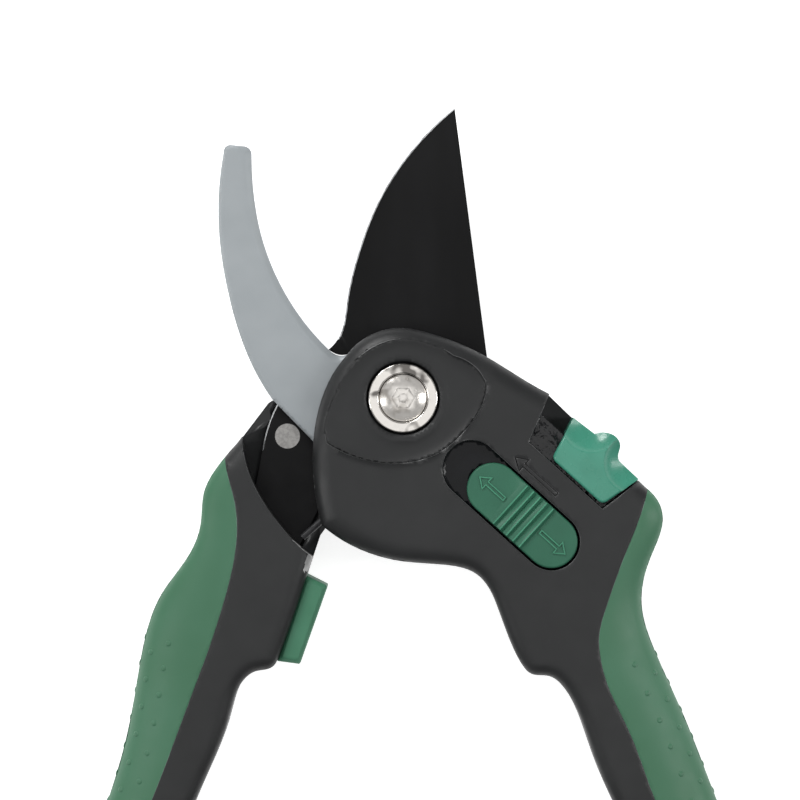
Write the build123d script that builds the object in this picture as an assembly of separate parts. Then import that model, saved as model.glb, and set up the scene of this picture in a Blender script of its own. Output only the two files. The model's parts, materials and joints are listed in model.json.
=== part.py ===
from build123d import *
from math import asin, cos, degrees, radians, sin
import os

# Bypass pruner, lying on its back with the blades open. Millimetres, +Z up.
# The origin is on the pivot axis, on the plane that the pruner rests on.
# +Y runs from the handles to the tip of the blade, +X to the latch side.

# ---- driving dimensions -------------------------------------------------

# layers, from the resting plane upwards
TOTAL_HEIGHT = 21.5
PARTING_Z = 10.0
REAR_HEAD_TOP = 6.6
BLADE_BOTTOM = 6.8
BLADE_TOP = 9.97
HOOK_BOTTOM = 10.03
HOOK_TOP = 14.0
FRONT_HEAD_BOTTOM = 14.1
ARM_TOP = 9.3
HANDLE_EDGE_RADIUS = 2.5
FACE_RECESS_DEPTH = 0.9

# pivot, all radii about the origin
BOLT_RADIUS = 4.0
BUSHING_RADIUS = 5.5
FIT = 0.05
PRESS_FIT = 0.02
COLLAR_OUTER_RADIUS = 7.6
COLLAR_INNER_RADIUS = 5.35
COUNTERBORE_RADIUS = 8.1
HEAD_RADIUS = 5.15
HEAD_SEAT_Z = 18.85
HEAD_TOP = 21.0
HEAD_DOME = 1.0
COLLAR_TOP = 20.8
SOCKET_ACROSS_FLATS = 4.4
SOCKET_DEPTH = 0.4
CENTRE_MARK_RADIUS = 1.0
REAR_HEAD_RADIUS = 14.8
NUT_RECESS_RADIUS = 7.7
NUT_RECESS_TOP = 4.9

# slides: both run along one direction, told by its angle in the XY plane
SLIDE_ANGLE = -42.2
SWITCH_TRAVEL = 6.5
LATCH_TRAVEL = 5.5
SWITCH_ALONG = 36.6
SWITCH_ACROSS = -1.5
SWITCH_HALF_SPACING = 8.55
SWITCH_RADIUS = 5.8
SWITCH_TOP = 22.0
SWITCH_FACE = 21.2
RECESS_FLOOR = 18.4
STOP_WIDTH = 3.0
BOLT_STRIP_ACROSS = 13.5
BOLT_STRIP_WIDTH = 3.0
BOLT_STRIP_TIP = 18.2
CHANNEL_EDGE_ACROSS = 11.3
RAIL_ACROSS = 17.8
RAIL_TOP = 17.0
RAIL_BOTTOM = 4.0
LATCH_TOP = 21.3

# opening spring
WIRE_RADIUS = 0.75
COIL_RADIUS = 8.2
COIL_PITCH = 1.6
SPRING_REACH = 38.0
SPRING_REACH_ANGLE = -125.8

# grips and fasteners
GRIP_SKIN = 2.4
SCREW_RADIUS = 1.5
SCREW_HEAD_RADIUS = 2.8
SCREW_BOTTOM = 0.8
SCREW_TOP = 17.0
RIVET_RADIUS = 2.75
RIVET_PLACE = (-25.5, -8.4)
HOOK_RIVET_RADIUS = 2.2
HOOK_RIVET_PLACE = (34.5, -54.0)
RIGHT_TANG_HOLES = [(32.0, -43.0)]
RIGHT_SCREWS = RIGHT_TANG_HOLES + [(48.3, -83.0), (57.8, -104.0)]
LEFT_TANG_HOLES = [(-31.5, -43.0)]
LEFT_SCREWS = LEFT_TANG_HOLES + [(-47.3, -83.0), (-56.8, -104.0)]

# edges of the two steel tangs, each run going on from the one before
BLADE_TANG_OUTER = [(-29.2, -4.5), (-31.0, -11.4)]
BLADE_TANG_SIDE = [(-33.0, -22.0), (-37.0, -40.0), (-44.0, -62.0), (-48.5, -74.0)]
BLADE_TANG_TIP = [(-46.0, -76.5), (-43.5, -75.5)]
BLADE_TANG_INNER = [(-37.0, -60.0), (-28.0, -42.0), (-21.5, -30.0), (-14.0, -14.0)]
HOOK_TANG_INNER = [(16.0, -33.5), (24.5, -46.0), (31.8, -56.5), (39.5, -65.5), (42.6, -73.0)]
HOOK_TANG_TIP = [(44.5, -74.8), (46.3, -72.5)]
HOOK_TANG_OUTER = [(43.6, -61.0), (40.6, -50.0), (41.4, -38.0), (37.0, -22.0), (25.7, -5.8), (12.0, 6.5)]

# small parts
LEAF_THICKNESS = 0.35
LEAF_BUMP = 0.75
LEAF_BUMP_REACH = 2.0
PIN_RADIUS = 0.8
SWITCH_PIN_PLACE = (31.4, SWITCH_ACROSS)
SWITCH_PIN_BOTTOM = 12.4
SWITCH_PIN_TOP = 20.4
LATCH_PIN_PLACE = (39.0, RAIL_ACROSS + 1.4)
LATCH_PIN_BOTTOM = 5.4
LATCH_PIN_TOP = 12.0
BEVEL_DEPTH = 2.9
BEVEL_WIDTH = 5.0
CLOSING_ANGLE = 44.5
STOP_TIP = 22.0
STOP_POST_BEHIND = 7.2
STOP_POST_LENGTH = 4.0
CHANNEL_END = 48.6
BOLT_LEG = (36.0, 42.0)
SPRING_ROOF = 18.0
DETENT_SPAN = (30.0, 42.0)
DETENT_ACROSS = (SWITCH_ACROSS + 2.6, SWITCH_ACROSS + 4.4)
LATCH_DETENT_SPAN = (36.0, 46.0)
LATCH_DETENT_ACROSS = (13.4, 15.2)
ARROW_LINE = 0.25
ARROW_DEPTH = 0.3
ARROW_SHAFT = 1.1
ARROW_HALF_WIDTH = 1.8
SIDE_ARROW_ACROSS = 6.9
RIB_COUNT = 5
RIB_PITCH = 1.9
RIB_HALF_LENGTH = 5.6
SCOOP_RADIUS = 9.0
SCOOP_CENTRES = [(34.0, 24.0, 27.0), (47.2, 23.6, 27.0)]
NUT_ACROSS_FLATS = 12.0
NUT_HEIGHT = 3.6
WASHER_RADIUS = 7.3
BUMPER_BOTTOM = 3.0
BUMPER_TOP = 18.5


# ---- helpers ------------------------------------------------------------

def outline(start, *runs):
    """Closed face. A run of one point is a line to it, a longer run a smooth curve."""
    edges = []
    here = start
    for run in runs:
        points = [here, *run]
        edges.append(Line(*points) if len(run) == 1 else Spline(*points))
        here = run[-1]
    return make_face(edges)


def plate(face, bottom, top):
    """The face, standing from one height to another."""
    return Pos(0, 0, bottom) * extrude(face, amount=top - bottom, dir=(0, 0, 1))


def disc(radius, bottom, top, x=0, y=0):
    return Pos(x, y, bottom) * extrude(Circle(radius), amount=top - bottom)


def block(x_range, y_range, z_range):
    """A box between two values on each axis."""
    size = [high - low for low, high in (x_range, y_range, z_range)]
    middle = [(high + low) / 2 for low, high in (x_range, y_range, z_range)]
    return Pos(*middle) * Box(*size)


def along_slide(shape):
    """Turns a shape drawn with +X along the slides into the pruner's frame."""
    return Rot(0, 0, SLIDE_ANGLE) * shape


def stadium(half_spacing, radius):
    return SlotCenterToCenter(2 * half_spacing, 2 * radius)


def edges_at(solid, height):
    return solid.edges().filter_by_position(Axis.Z, height - 0.01, height + 0.01)


def polar(radius, angle):
    return (radius * cos(radians(angle)), radius * sin(radians(angle)))


def sector(radius_in, radius_out, angle_from, angle_to, bottom, top):
    """Part of a ring about the pivot, between two angles."""
    middle = (angle_from + angle_to) / 2
    face = make_face([
        Line(polar(radius_in, angle_from), polar(radius_out, angle_from)),
        ThreePointArc(polar(radius_out, angle_from), polar(radius_out, middle), polar(radius_out, angle_to)),
        Line(polar(radius_out, angle_to), polar(radius_in, angle_to)),
        ThreePointArc(polar(radius_in, angle_to), polar(radius_in, middle), polar(radius_in, angle_from)),
    ])
    return plate(face, bottom, top)


def ring(outer, inner, bottom, top):
    return disc(outer, bottom, top) - disc(inner, bottom, top)


def save(shape, name):
    shape.label = name
    export_step(shape, f"parts/{name}.step")


# ---- outlines of the two handles ----------------------------------------

def right_handle_face():
    """Housing over the pivot, the waist with the latch, and the handle."""
    return outline(
        (-12.5, 9.2),
        [(-16.1, 4.0), (-18.9, -4.0), (-19.8, -12.0), (-19.3, -21.0), (-17.8, -27.9)],
        [(-9.9, -33.0), (-1.5, -35.6), (7.0, -36.4), (16.1, -38.6), (21.2, -47.0), (26.8, -59.4)],
        [(28.6, -60.6), (31.8, -60.9), (36.2, -64.8), (41.6, -77.9), (46.0, -88.4), (52.2, -100.0),
         (59.0, -112.0), (63.5, -121.5), (69.0, -125.5), (74.3, -121.0), (75.4, -112.0),
         (72.8, -99.0), (68.0, -85.8), (61.8, -70.0), (55.3, -55.4), (52.4, -45.3), (54.0, -35.8),
         (56.9, -27.4), (53.0, -19.4)],
        [(31.9, 1.0)],
        [(26.4, 4.1), (18.4, 9.0), (11.5, 12.3), (4.8, 14.5), (-0.7, 15.4), (-7.0, 13.9), (-12.5, 9.2)],
    )


def right_grip_zone():
    """Everything outside the line where the shells of the right handle meet the grip."""
    return outline(
        (53.8, -19.0),
        [(51.8, -26.1), (48.6, -34.2), (44.6, -45.3), (42.9, -52.3), (43.4, -58.1), (45.5, -64.7),
         (49.3, -72.6), (54.3, -85.8), (60.2, -100.0), (64.6, -112.0), (66.0, -130.0)],
        [(95.0, -130.0)], [(95.0, -19.0)], [(53.8, -19.0)],
    )


def left_handle_face():
    """Arm from the pivot, and the handle."""
    return outline(
        (-29.7, -1.1),
        [(-36.4, -9.9)],
        [(-40.5, -14.8), (-43.6, -20.5), (-44.4, -27.7), (-46.6, -33.8), (-53.0, -43.0),
         (-57.0, -54.1), (-59.8, -70.0), (-64.0, -85.8), (-69.0, -100.0), (-72.0, -113.0),
         (-71.0, -121.5), (-66.0, -126.5), (-60.5, -122.0), (-56.5, -113.0), (-50.5, -100.0),
         (-44.4, -85.8), (-38.1, -70.0), (-35.0, -61.9), (-32.3, -59.9), (-29.6, -59.4), (-27.6, -57.6)],
        [(-24.4, -49.0), (-20.9, -38.3), (-18.3, -30.4)],
        [(-6.0, -13.5)], [(-9.0, 11.5)], [(-29.7, -1.1)],
    )


def left_grip_zone():
    """Everything outside the line where the shells of the left handle meet the grip."""
    return outline(
        (-39.0, -11.0),
        [(-38.3, -17.2), (-36.9, -22.4), (-36.3, -29.0), (-38.9, -43.6), (-42.2, -54.1),
         (-47.1, -67.3), (-54.1, -85.8), (-59.8, -100.0), (-63.5, -113.0), (-63.0, -130.0)],
        [(-90.0, -130.0)], [(-90.0, -11.0)], [(-39.0, -11.0)],
    )


def left_pocket_face():
    """Where the left front shell is open, so that the housing can turn into it."""
    return outline(
        (-35.2, -8.6),
        [(-33.9, -15.7), (-31.1, -21.8), (-26.8, -27.9), (-20.8, -34.1), (-12.0, -38.0)],
        [(10.0, -30.0)], [(10.0, 20.0)], [(-40.0, 20.0)], [(-40.0, -5.0)], [(-35.2, -8.6)],
    )


def rounded_handle(face):
    """A handle's whole block, front and back edges rounded."""
    whole = plate(face, 0, TOTAL_HEIGHT)
    whole = fillet(edges_at(whole, TOTAL_HEIGHT), HANDLE_EDGE_RADIUS)
    return fillet(edges_at(whole, 0), HANDLE_EDGE_RADIUS)


# ---- moving steel: blade and hook ---------------------------------------

def cutting_blade():
    """Blade, pivot root and tang. The root carries a catch for the latch and a tooth for the stop."""
    blade = outline(
        (-16.4, 10.7),
        [(-13.7, 14.3), (-12.3, 21.5), (-9.9, 31.8), (-5.6, 43.0), (2.0, 54.7), (11.4, 64.0)],
        [(18.9, 6.3)],
        [(14.65, 1.5)],
        [(8.0, -4.0)], [(-4.0, -6.0)], [(-11.4, 6.0)], [(-11.4, 10.0)],
        [(-13.8, 9.5), (-16.4, 10.7)],
    )
    tang = outline(
        (-8.0, 9.0),
        [(-26.2, 1.2)],
        BLADE_TANG_OUTER,
        BLADE_TANG_SIDE,
        BLADE_TANG_TIP,
        BLADE_TANG_INNER,
        [(0.0, -10.0)], [(-8.0, 9.0)],
    )
    root_radius = 12.0
    solid = hone(plate(blade, BLADE_BOTTOM, BLADE_TOP))
    solid += plate(tang, BLADE_BOTTOM, BLADE_TOP)
    solid += disc(root_radius, BLADE_BOTTOM, BLADE_TOP)
    solid += sector(root_radius - 1, 19.0, -67, -55, BLADE_BOTTOM, BLADE_TOP)
    catch = sector(root_radius - 1, 21.0, -36, -16, BLADE_BOTTOM, BLADE_TOP)
    slot_ahead = BOLT_STRIP_TIP - LATCH_TRAVEL - 1.0
    slot = block((slot_ahead, 40), (BOLT_STRIP_ACROSS - 1.8, BOLT_STRIP_ACROSS + 1.8), (0, TOTAL_HEIGHT))
    catch -= Rot(0, 0, -CLOSING_ANGLE) * along_slide(slot)
    solid += catch
    solid -= disc(BUSHING_RADIUS + FIT, 0, TOTAL_HEIGHT)
    solid -= disc(RIVET_RADIUS, 0, TOTAL_HEIGHT, *RIVET_PLACE)
    for x, y in LEFT_TANG_HOLES:
        solid -= disc(SCREW_RADIUS + 0.2, 0, TOTAL_HEIGHT, x, y)
    return solid


def hone(blade):
    """Grinds the bevel along the cutting edge, on the side away from the hook."""
    under = blade.faces().filter_by(Axis.Z).sort_by(Axis.Z)[0]
    cutting_edge = under.edges().sort_by(SortBy.LENGTH).filter_by(lambda edge: edge.center().X < 0)[-1]
    return blade.chamfer(BEVEL_WIDTH, BEVEL_DEPTH, [cutting_edge], under)


def hook_blade():
    """Counter blade with its tang, which reaches down into the right handle."""
    hook = outline(
        (-38.0, 55.75),
        [(-39.1, 55.2), (-39.5, 54.0)],
        [(-40.1, 50.0), (-40.6, 43.5), (-40.4, 35.5), (-38.3, 22.4), (-34.1, 9.2), (-28.7, -0.4)],
        [(-19.6, -9.7)],
        [(-14.5, -14.8)],
        [(-6.0, -17.0), (4.0, -23.0)],
        HOOK_TANG_INNER,
        HOOK_TANG_TIP,
        HOOK_TANG_OUTER,
        [(5.0, 12.5), (-5.0, 12.6), (-11.4, 10.0)],
        [(-13.9, 9.3), (-16.4, 10.7)],
        [(-20.0, 14.5), (-27.1, 25.1), (-31.2, 35.6), (-33.1, 46.7), (-33.4, 53.4)],
        [(-33.7, 54.7), (-34.8, 55.4)],
        [(-38.0, 55.75)],
    )
    solid = plate(hook, HOOK_BOTTOM, HOOK_TOP)
    solid -= disc(BUSHING_RADIUS + PRESS_FIT, 0, TOTAL_HEIGHT)
    solid -= stop_slot(0.35)
    solid -= disc(HOOK_RIVET_RADIUS + PRESS_FIT, 0, TOTAL_HEIGHT, *HOOK_RIVET_PLACE)
    for x, y in RIGHT_TANG_HOLES:
        solid -= disc(SCREW_RADIUS + 0.2, 0, TOTAL_HEIGHT, x, y)
    return solid


def stop_slot(clearance):
    """Room for the switch's stop pin over its whole travel."""
    half = STOP_WIDTH / 2 + clearance
    near = SWITCH_ALONG - STOP_POST_BEHIND - SWITCH_TRAVEL - clearance
    far = SWITCH_ALONG - STOP_POST_BEHIND + STOP_POST_LENGTH + clearance
    slot = block((near, far), (SWITCH_ACROSS - half, SWITCH_ACROSS + half), (0, TOTAL_HEIGHT))
    return along_slide(slot)


# ---- pivot --------------------------------------------------------------

def pivot_bolt():
    """Bolt that the whole pruner turns on, with a low dome, a shallow hexagon and a centre mark."""
    rim_z = HEAD_TOP - HEAD_DOME
    foot_z = HEAD_SEAT_Z + FIT
    section = make_face([
        Line((0, foot_z), (HEAD_RADIUS, foot_z)),
        Line((HEAD_RADIUS, foot_z), (HEAD_RADIUS, rim_z)),
        ThreePointArc((HEAD_RADIUS, rim_z), (HEAD_RADIUS * 0.7, HEAD_TOP - HEAD_DOME * 0.49), (0, HEAD_TOP)),
        Line((0, HEAD_TOP), (0, foot_z)),
    ])
    head = revolve(Plane.XZ * section, axis=Axis.Z)
    socket = extrude(RegularPolygon(SOCKET_ACROSS_FLATS / 2, 6, major_radius=False), amount=HEAD_DOME)
    bolt = head + disc(BOLT_RADIUS, 0, foot_z + 0.1)
    bolt -= Pos(0, 0, HEAD_TOP - SOCKET_DEPTH) * socket
    return bolt + disc(CENTRE_MARK_RADIUS, HEAD_TOP - 2 * SOCKET_DEPTH, HEAD_TOP - SOCKET_DEPTH / 2)


def pivot_collar():
    """Bright ring round the bolt's head."""
    collar = ring(COLLAR_OUTER_RADIUS, COLLAR_INNER_RADIUS, HEAD_SEAT_Z + FIT, COLLAR_TOP)
    return fillet(edges_at(collar, COLLAR_TOP), 0.35)


def pivot_nut():
    hexagon = extrude(RegularPolygon(NUT_ACROSS_FLATS / 2, 6, major_radius=False), amount=NUT_HEIGHT)
    return hexagon - disc(BOLT_RADIUS + PRESS_FIT, 0, NUT_RECESS_TOP)


# ---- right handle -------------------------------------------------------

def grip_room(face, zone, inward):
    """What the grip takes up: its zone, less the core that it is moulded round."""
    core = plate(Pos(inward * GRIP_SKIN, GRIP_SKIN / 2) * face, GRIP_SKIN, TOTAL_HEIGHT - GRIP_SKIN)
    return plate(zone, -1, TOTAL_HEIGHT + 1) - core


def latch_channel():
    """The space that the latch slides in: a step in the face, and the side of the rail."""
    left = ((26.8, CHANNEL_EDGE_ACROSS), (22.6, 24.0))
    right = (CHANNEL_END, CHANNEL_EDGE_ACROSS)
    face = make_face(Polyline(left[0], right, (CHANNEL_END + 2.4, 24.0), left[1], left[0]))
    step = plate(face, RAIL_TOP, TOTAL_HEIGHT)
    side = block((20.0, CHANNEL_END + 4), (RAIL_ACROSS, 30.0), (RAIL_BOTTOM, RAIL_TOP))
    side &= plate(face, 0, TOTAL_HEIGHT)
    return along_slide(step + side)


def bolt_pocket(clearance):
    """Room in the blade layer for the latch's bolt over its whole travel."""
    half = BOLT_STRIP_WIDTH / 2 + clearance
    strip = block((BOLT_STRIP_TIP - LATCH_TRAVEL - 1, 46.0),
                  (BOLT_STRIP_ACROSS - half, BOLT_STRIP_ACROSS + half), (BLADE_BOTTOM, PARTING_Z))
    leg = block((BOLT_LEG[0] - LATCH_TRAVEL - clearance, BOLT_LEG[1] + clearance),
                (BOLT_STRIP_ACROSS, 30.0), (BLADE_BOTTOM, PARTING_Z))
    return along_slide(strip + leg)


def stop_pocket(clearance):
    """Room in the blade layer for the foot of the switch's stop."""
    half = STOP_WIDTH / 2 + clearance
    foot = block((14.0, SWITCH_ALONG - STOP_POST_BEHIND + STOP_POST_LENGTH + clearance),
                 (SWITCH_ACROSS - half, SWITCH_ACROSS + half), (BLADE_BOTTOM, PARTING_Z))
    return along_slide(foot)


def right_rear_shell(whole, grip_space):
    solid = whole & block((-60, 100), (-140, 40), (0, PARTING_Z - 0.02))
    solid -= grip_space
    clear = Polyline((-60, 40), (16.5, 40), (16.5, 0), (10.6, -10), (10.6, -36.9), (-60, -60), (-60, 40))
    solid -= plate(make_face(clear), 0, PARTING_Z)
    solid -= disc(REAR_HEAD_RADIUS + 0.5, 0, PARTING_Z)
    solid -= disc(22.0, REAR_HEAD_TOP, PARTING_Z)
    solid -= bolt_pocket(0.3)
    solid -= stop_pocket(0.3)
    solid -= latch_channel()
    return cut_screws(solid, RIGHT_SCREWS)


def right_front_shell(whole, grip_space):
    solid = whole & block((-60, 100), (-140, 40), (PARTING_Z, TOTAL_HEIGHT))
    solid -= grip_space
    # open under the head, where the hook lies and the left handle turns
    head = Polyline((-60, 40), (16.5, 40), (16.5, 0), (10.6, -10), (10.6, -60), (-60, -60), (-60, 40))
    solid -= plate(make_face(head), PARTING_Z, FRONT_HEAD_BOTTOM)
    solid -= disc(22.0, PARTING_Z, FRONT_HEAD_BOTTOM)
    solid -= plate(hook_tang_face(), PARTING_Z, FRONT_HEAD_BOTTOM)
    solid -= ring(COIL_RADIUS + 2.0, BOLT_RADIUS + 1.9, FRONT_HEAD_BOTTOM, SPRING_ROOF)
    # room for the spring's leg from the open to the shut position, widest near the coil
    leg_roof = FRONT_HEAD_BOTTOM + 2 * WIRE_RADIUS + 0.5
    solid -= sector(BOLT_RADIUS + 2.5, 50.0, 224, 287, FRONT_HEAD_BOTTOM, leg_roof)
    solid -= sector(COIL_RADIUS, 27.0, 286, 326, FRONT_HEAD_BOTTOM, leg_roof)
    solid -= sector(COIL_RADIUS, 16.0, 150, 172, FRONT_HEAD_BOTTOM, SPRING_ROOF)
    solid -= disc(BUSHING_RADIUS + 0.1, 0, HOOK_TOP + 0.3)
    solid -= disc(BOLT_RADIUS + FIT, 0, TOTAL_HEIGHT)
    solid -= disc(COUNTERBORE_RADIUS, HEAD_SEAT_Z, TOTAL_HEIGHT)
    solid -= plate(face_recess(), TOTAL_HEIGHT - FACE_RECESS_DEPTH, TOTAL_HEIGHT)
    solid -= switch_recess()
    solid -= stop_slot(0.3)
    solid -= latch_channel()
    solid -= along_slide(block(LATCH_DETENT_SPAN, LATCH_DETENT_ACROSS, (RAIL_TOP - 1.2, RAIL_TOP + 1)))
    solid -= disc(HOOK_RIVET_RADIUS + PRESS_FIT, 0, HOOK_TOP + 1.5, *HOOK_RIVET_PLACE)
    solid -= side_arrow()
    return cut_screws(solid, RIGHT_SCREWS)


def hook_tang_face():
    """The part of the hook's tang that the right handle closes round."""
    return outline(
        (4.0, -23.0),
        HOOK_TANG_INNER,
        HOOK_TANG_TIP,
        HOOK_TANG_OUTER,
        [(4.0, -23.0)],
    )


def face_recess():
    """Shallow teardrop round the pivot."""
    return outline(
        (-17.4, -6.2),
        [(-16.6, -9.9)],
        [(-10.9, -12.7), (-4.2, -14.2), (2.0, -13.9), (8.0, -11.8), (13.2, -7.4), (17.0, -2.0), (18.2, 3.0)],
        [(16.5, 6.0), (11.1, 9.2)],
        [(4.8, 12.3), (-0.7, 12.9), (-8.9, 9.5), (-13.6, 3.5), (-17.4, -6.2)],
    )


def switch_recess():
    """Stadium that the switch slides in."""
    shift = SWITCH_TRAVEL / 2
    face = stadium(SWITCH_HALF_SPACING + shift, SWITCH_RADIUS + 0.5)
    pocket = plate(Pos(SWITCH_ALONG - shift, SWITCH_ACROSS) * face, RECESS_FLOOR, TOTAL_HEIGHT)
    room_across = (SWITCH_ACROSS + 2.2, SWITCH_ACROSS + 4.8)
    spring_room = block(DETENT_SPAN, room_across, (RECESS_FLOOR - 1.2, RECESS_FLOOR + 1))
    return along_slide(pocket + spring_room)


def arrow(tip, tail, head_length):
    """Outline of an arrow that points along -X, drawn as one narrow line."""
    barb = tip + head_length
    points = [(tip, 0), (barb, ARROW_HALF_WIDTH), (barb, ARROW_SHAFT / 2), (tail, ARROW_SHAFT / 2),
              (tail, -ARROW_SHAFT / 2), (barb, -ARROW_SHAFT / 2), (barb, -ARROW_HALF_WIDTH), (tip, 0)]
    shape = make_face(Polyline(*points))
    return shape - offset(shape, amount=-ARROW_LINE)


def side_arrow():
    """Cut into the face beside the latch: the way that the latch slides to lock."""
    mark = Pos(0, SIDE_ARROW_ACROSS) * arrow(26.6, 39.2, 3.0)
    return along_slide(plate(mark, TOTAL_HEIGHT - ARROW_DEPTH, TOTAL_HEIGHT))


def cut_screws(solid, places):
    """Clearance for the screw's head and shank, from the back."""
    for x, y in places:
        solid -= disc(SCREW_HEAD_RADIUS + 0.2, 0, SCREW_BOTTOM + 2.2, x, y)
        solid -= disc(SCREW_RADIUS + PRESS_FIT, 0, SCREW_TOP, x, y)
    return solid


def screws(places):
    """Countersunk screws with a cross socket, one solid at each place."""
    solids = []
    for x, y in places:
        screw = disc(SCREW_HEAD_RADIUS, SCREW_BOTTOM, SCREW_BOTTOM + 2.1)
        screw += disc(SCREW_RADIUS, SCREW_BOTTOM, SCREW_TOP - 0.3)
        screw -= block((-1.6, 1.6), (-0.35, 0.35), (0, SCREW_BOTTOM + 1.0))
        screw -= block((-0.35, 0.35), (-1.6, 1.6), (0, SCREW_BOTTOM + 1.0))
        solids.append(Pos(x, y) * screw)
    return Compound(children=solids)


# ---- switch and latch ---------------------------------------------------

def thumb_ribs():
    """Row of ridges across the switch, each with one long and one short slope."""
    points = [(-RIB_COUNT * RIB_PITCH / 2, SWITCH_FACE - 1)]
    for rib in range(RIB_COUNT):
        x = (rib - RIB_COUNT / 2) * RIB_PITCH
        points += [(x, SWITCH_FACE), (x + 0.55 * RIB_PITCH, SWITCH_TOP), (x + 0.7 * RIB_PITCH, SWITCH_TOP)]
    points += [(-points[0][0], SWITCH_FACE), (-points[0][0], SWITCH_FACE - 1), points[0]]
    profile = Plane.XZ * make_face(Polyline(*points))
    return Pos(0, -RIB_HALF_LENGTH, 0) * extrude(profile, amount=2 * RIB_HALF_LENGTH, dir=(0, 1, 0))


def switch_button():
    """Oval slide switch with a ribbed thumb pad and a raised arrow at each end."""
    body = plate(stadium(SWITCH_HALF_SPACING, SWITCH_RADIUS), RECESS_FLOOR + 0.1, SWITCH_FACE)
    body = fillet(edges_at(body, SWITCH_FACE), 0.5)
    body += thumb_ribs()
    mark = Pos(-SWITCH_HALF_SPACING, 0) * arrow(-4.2, 3.3, 2.4)
    for turn in (0, 180):
        body += Rot(0, 0, turn) * plate(mark, SWITCH_FACE - 0.2, SWITCH_FACE + ARROW_DEPTH)
    body = Pos(SWITCH_ALONG, SWITCH_ACROSS) * body
    body -= disc(PIN_RADIUS, 0, SWITCH_PIN_TOP, *SWITCH_PIN_PLACE)
    return along_slide(body)


def switch_stop():
    """Steel stop under the switch: a post through the hook, and a foot in the blade's layer."""
    post_from = SWITCH_ALONG - STOP_POST_BEHIND
    across = (SWITCH_ACROSS - STOP_WIDTH / 2, SWITCH_ACROSS + STOP_WIDTH / 2)
    post = block((post_from, post_from + STOP_POST_LENGTH), across, (BLADE_BOTTOM + 0.3, RECESS_FLOOR + 0.05))
    foot = block((STOP_TIP, post_from + STOP_POST_LENGTH), across, (BLADE_BOTTOM + 0.3, BLADE_TOP - 0.17))
    return along_slide(post + foot - disc(PIN_RADIUS, SWITCH_PIN_BOTTOM, SWITCH_TOP, *SWITCH_PIN_PLACE))


def latch_button():
    """Thumb slide that wraps the rail, with a peak between two scooped faces."""
    front = outline(
        (33.0, 12.0),
        [(48.0, 12.0)], [(50.2, 21.5)], [(44.4, 21.6)],
        [(43.2, 22.6), (42.3, 24.2), (40.0, 25.0), (38.0, 24.2), (36.6, 22.4)],
        [(30.6, 21.9)], [(33.0, 12.0)],
    )
    solid = plate(front, RAIL_BOTTOM + 0.4, LATCH_TOP)
    solid -= block((20, 60), (0, RAIL_ACROSS + 0.3), (0, RAIL_TOP + 0.3))
    corners = solid.edges().filter_by(Axis.Z).group_by(Axis.Y)[0]
    solid = fillet(corners, 1.6)
    solid = fillet(edges_at(solid, LATCH_TOP), 0.6)
    for centre in SCOOP_CENTRES:
        solid -= Pos(*centre) * Sphere(SCOOP_RADIUS)
    solid -= block(BOLT_LEG, (0, RAIL_ACROSS + 2.3), (BLADE_BOTTOM + 0.3, BLADE_TOP - 0.17))
    solid -= disc(PIN_RADIUS, LATCH_PIN_BOTTOM, LATCH_PIN_TOP, *LATCH_PIN_PLACE)
    return along_slide(solid)


def latch_bolt():
    """Steel bolt that the latch carries into the blade's catch."""
    half = BOLT_STRIP_WIDTH / 2
    height = (BLADE_BOTTOM + 0.3, BLADE_TOP - 0.17)
    strip = block((BOLT_STRIP_TIP, BOLT_LEG[1]), (BOLT_STRIP_ACROSS - half, BOLT_STRIP_ACROSS + half), height)
    leg = block(BOLT_LEG, (BOLT_STRIP_ACROSS - half, RAIL_ACROSS + 2.3), height)
    return along_slide(strip + leg - disc(PIN_RADIUS, 0, TOTAL_HEIGHT, *LATCH_PIN_PLACE))


def detent_spring(span, across, height):
    """Leaf with a bump in the middle, bent from strip."""
    middle = (span[0] + span[1]) / 2
    near, far = middle - LEAF_BUMP_REACH, middle + LEAF_BUMP_REACH
    surfaces = []
    for level in (0, -LEAF_THICKNESS):
        surfaces.append([
            Line((span[0], level), (near, level)),
            ThreePointArc((near, level), (middle, level + LEAF_BUMP), (far, level)),
            Line((far, level), (span[1], level)),
        ])
    ends = [Line((x, 0), (x, -LEAF_THICKNESS)) for x in span]
    profile = make_face(surfaces[0] + surfaces[1] + ends)
    leaf = extrude(Plane.XZ * profile, amount=across[1] - across[0], dir=(0, 1, 0))
    return along_slide(Pos(0, across[0], height) * leaf)


def switch_pin():
    """Pin that fixes the stop in the button."""
    return along_slide(disc(PIN_RADIUS, SWITCH_PIN_BOTTOM, SWITCH_PIN_TOP, *SWITCH_PIN_PLACE))


def latch_pin():
    """Pin that fixes the bolt in the latch."""
    return along_slide(disc(PIN_RADIUS, LATCH_PIN_BOTTOM, LATCH_PIN_TOP, *LATCH_PIN_PLACE))


# ---- left handle --------------------------------------------------------

def left_rear_shell(whole, grip_space):
    solid = whole & block((-100, 60), (-140, 40), (0, PARTING_Z - 0.02))
    solid -= grip_space
    solid -= plate(left_pocket_face(), ARM_TOP, TOTAL_HEIGHT)
    solid += disc(REAR_HEAD_RADIUS, 0.0, REAR_HEAD_TOP)
    solid -= sector(0.1, 30.0, -60, 60, REAR_HEAD_TOP, PARTING_Z)
    solid -= disc(23.0, REAR_HEAD_TOP, PARTING_Z)
    solid -= plate(left_tang_room(), BLADE_BOTTOM - 0.02, PARTING_Z)
    solid -= disc(BUSHING_RADIUS + FIT + PRESS_FIT, 0, PARTING_Z)
    solid -= disc(NUT_RECESS_RADIUS, 0, NUT_RECESS_TOP)
    solid -= disc(RIVET_RADIUS, 3.0, PARTING_Z, *RIVET_PLACE)
    solid -= bumper_block(0.05)
    return cut_screws(solid, LEFT_SCREWS)


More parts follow.
